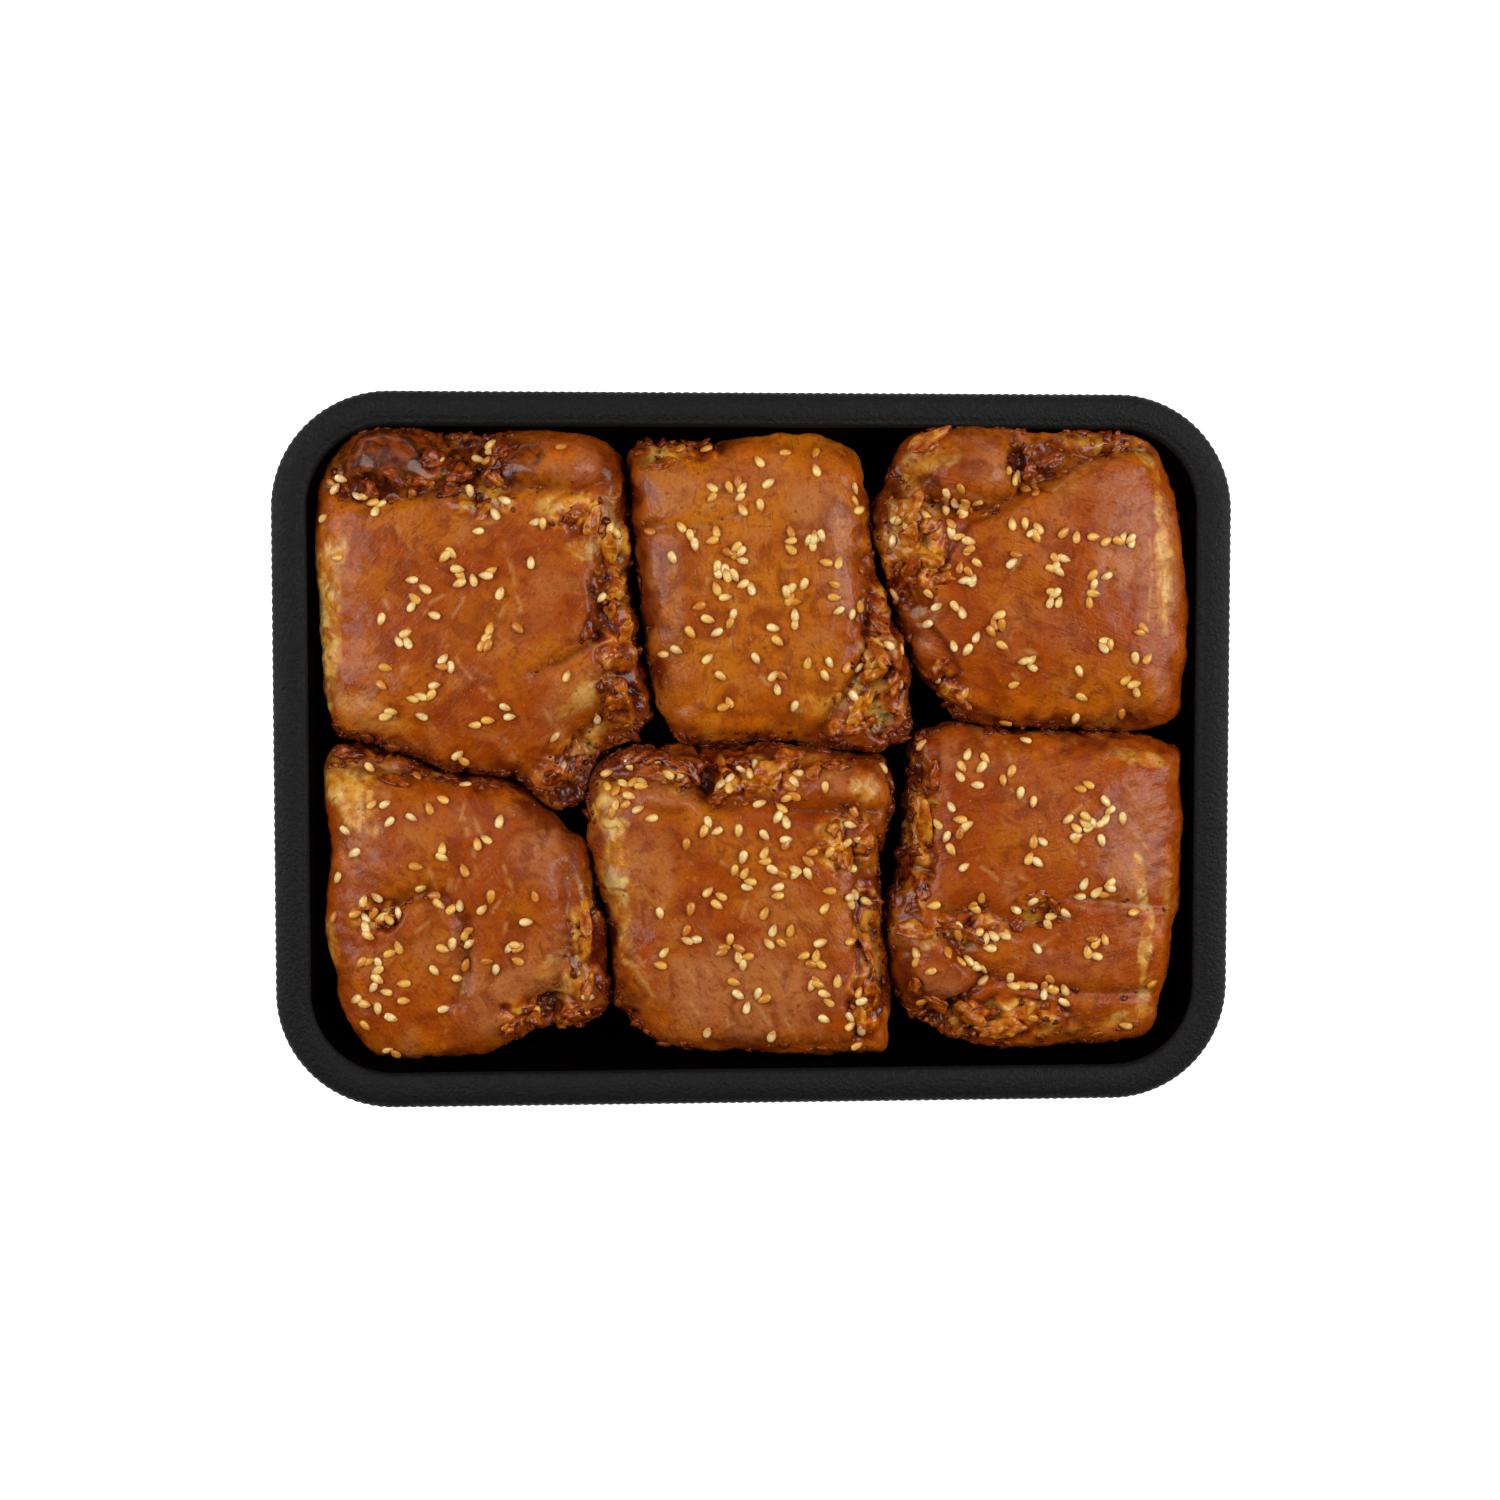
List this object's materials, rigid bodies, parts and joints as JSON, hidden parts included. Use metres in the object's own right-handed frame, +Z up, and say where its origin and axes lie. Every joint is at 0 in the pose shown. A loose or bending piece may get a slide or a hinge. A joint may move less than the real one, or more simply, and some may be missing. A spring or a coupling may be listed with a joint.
{
  "type": "meat tray pack",
  "caption": "Open black foam supermarket tray filled with folded, boneless marinated chicken thighs, strewn with toasted sesame seeds.",
  "frame": {"origin": "middle of the tray's flat base, which is the middle of the whole box's underside", "axes": "+X along the tray's length, to the right in the picture; +Y across it, to the picture's top; +Z up out of the tray"},
  "size_m": [0.222, 0.165, 0.0336],
  "materials": {
    "black_foam": "expanded foam, fine grained, slightly satin",
    "marinated_meat": "raw meat under a thin wet orange-brown marinade",
    "sesame": "toasted seeds, cream to golden",
    "marinade": "dark wet sauce and crumbs"
  },
  "bodies": {
    "root": {"tray": "black_foam", "thigh_back_left": "marinated_meat", "thigh_back_middle": "marinated_meat", "thigh_back_right": "marinated_meat", "thigh_front_left": "marinated_meat", "thigh_front_middle": "marinated_meat", "thigh_front_right": "marinated_meat"}
  },
  "joints": []
}
